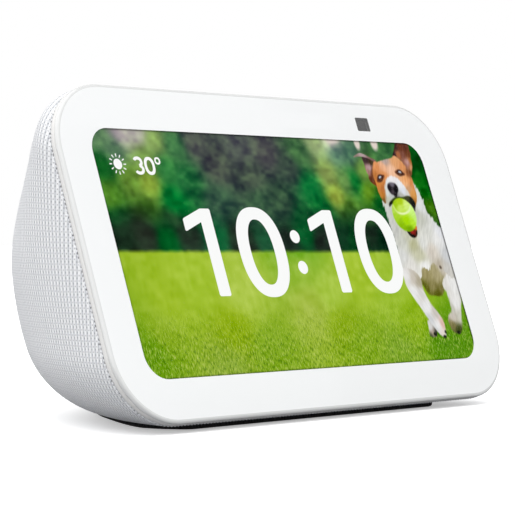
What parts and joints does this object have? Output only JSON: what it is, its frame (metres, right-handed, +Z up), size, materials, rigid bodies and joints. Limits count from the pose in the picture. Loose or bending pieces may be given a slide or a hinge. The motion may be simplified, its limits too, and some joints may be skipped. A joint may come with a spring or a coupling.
{
  "type": "smart display",
  "caption": "Small tabletop smart display: a tilted white-bordered glass screen in a plastic ring, a domed fabric-covered body behind it, and a black rubber foot.",
  "frame": {"origin": "on the surface it stands on, under the middle of its bounding box", "axes": "+Z up, +X to the right seen from the front, +Y to the rear; the screen faces -Y and leans back 19.9 degrees"},
  "size_m": [0.147, 0.091, 0.082],
  "materials": {
    "cover_glass": "clear glass over a white printed border, polished",
    "display": "lit picture screen behind the glass",
    "white_plastic": "satin moulded white",
    "knit_fabric": "light grey and white acoustic knit",
    "foot_rubber": "matt black",
    "inner_plastic": "moulded black",
    "steel": "plain stamped",
    "aluminium": "rolled",
    "circuit_board": "green solder mask",
    "chip_black": "moulded black",
    "contact_metal": "bare contact metal",
    "ribbon": "amber film",
    "lens_glass": "coated lens",
    "cone_paper": "pressed paper, black",
    "foam": "closed-cell foam"
  },
  "bodies": {
    "body": {"front_glass": "cover_glass", "front_ring": "white_plastic", "display_panel": "display", "backlight_unit": "steel", "display_tray": "inner_plastic", "display_flex": "ribbon", "main_board": "circuit_board", "shield_can": "steel", "heat_spreader": "aluminium", "board_screw_1": "steel", "board_screw_2": "steel", "board_screw_3": "steel", "board_screw_4": "steel", "antenna_left": "circuit_board", "antenna_right": "circuit_board", "camera_module": "chip_black", "camera_lens": "lens_glass", "camera_bracket": "steel", "control_panel": "white_plastic", "switch_board": "circuit_board", "mute_switch": "chip_black", "volume_down_switch": "chip_black", "volume_up_switch": "chip_black", "microphone_left": "steel", "microphone_right": "steel", "rubber_foot": "foot_rubber", "base_plate": "inner_plastic", "base_screw_1": "steel", "base_screw_2": "steel", "base_screw_3": "steel", "base_screw_4": "steel", "port_trim": "white_plastic", "power_jack": "inner_plastic", "jack_pin": "contact_metal", "jack_board": "circuit_board", "rear_housing": "inner_plastic", "fabric_cover": "knit_fabric", "speaker_enclosure": "inner_plastic", "speaker_baffle": "inner_plastic", "speaker_basket": "inner_plastic", "speaker_magnet": "chip_black", "speaker_yoke": "steel", "speaker_surround": "foot_rubber", "speaker_gasket": "foam", "speaker_screw_1": "steel", "speaker_screw_2": "steel", "speaker_screw_3": "steel", "speaker_screw_4": "steel"},
    "mute_button": {"mute_button": "white_plastic"},
    "volume_down_button": {"volume_down_button": "white_plastic"},
    "volume_up_button": {"volume_up_button": "white_plastic"},
    "camera_shutter": {"shutter_slider": "white_plastic"},
    "speaker_cone": {"speaker_cone": "cone_paper", "dust_cap": "cone_paper", "voice_coil": "contact_metal"}
  },
  "joints": [
    {"name": "mute_button_press", "type": "slide", "parent": "body", "child": "mute_button", "axis": [0, -0.3407, -0.9402], "range_m": [0, 0.0007], "stiffness_N_per_m": 1500},
    {"name": "volume_down_button_press", "type": "slide", "parent": "body", "child": "volume_down_button", "axis": [0, -0.3407, -0.9402], "range_m": [0, 0.0007], "stiffness_N_per_m": 1500},
    {"name": "volume_up_button_press", "type": "slide", "parent": "body", "child": "volume_up_button", "axis": [0, -0.3407, -0.9402], "range_m": [0, 0.0007], "stiffness_N_per_m": 1500},
    {"name": "camera_shutter_slide", "type": "slide", "parent": "body", "child": "camera_shutter", "axis": [1, 0, 0], "range_m": [0, 0.0076]},
    {"name": "speaker_cone_stroke", "type": "slide", "parent": "body", "child": "speaker_cone", "axis": [0, 1, 0], "range_m": [-0.001, 0.001], "stiffness_N_per_m": 1500}
  ]
}
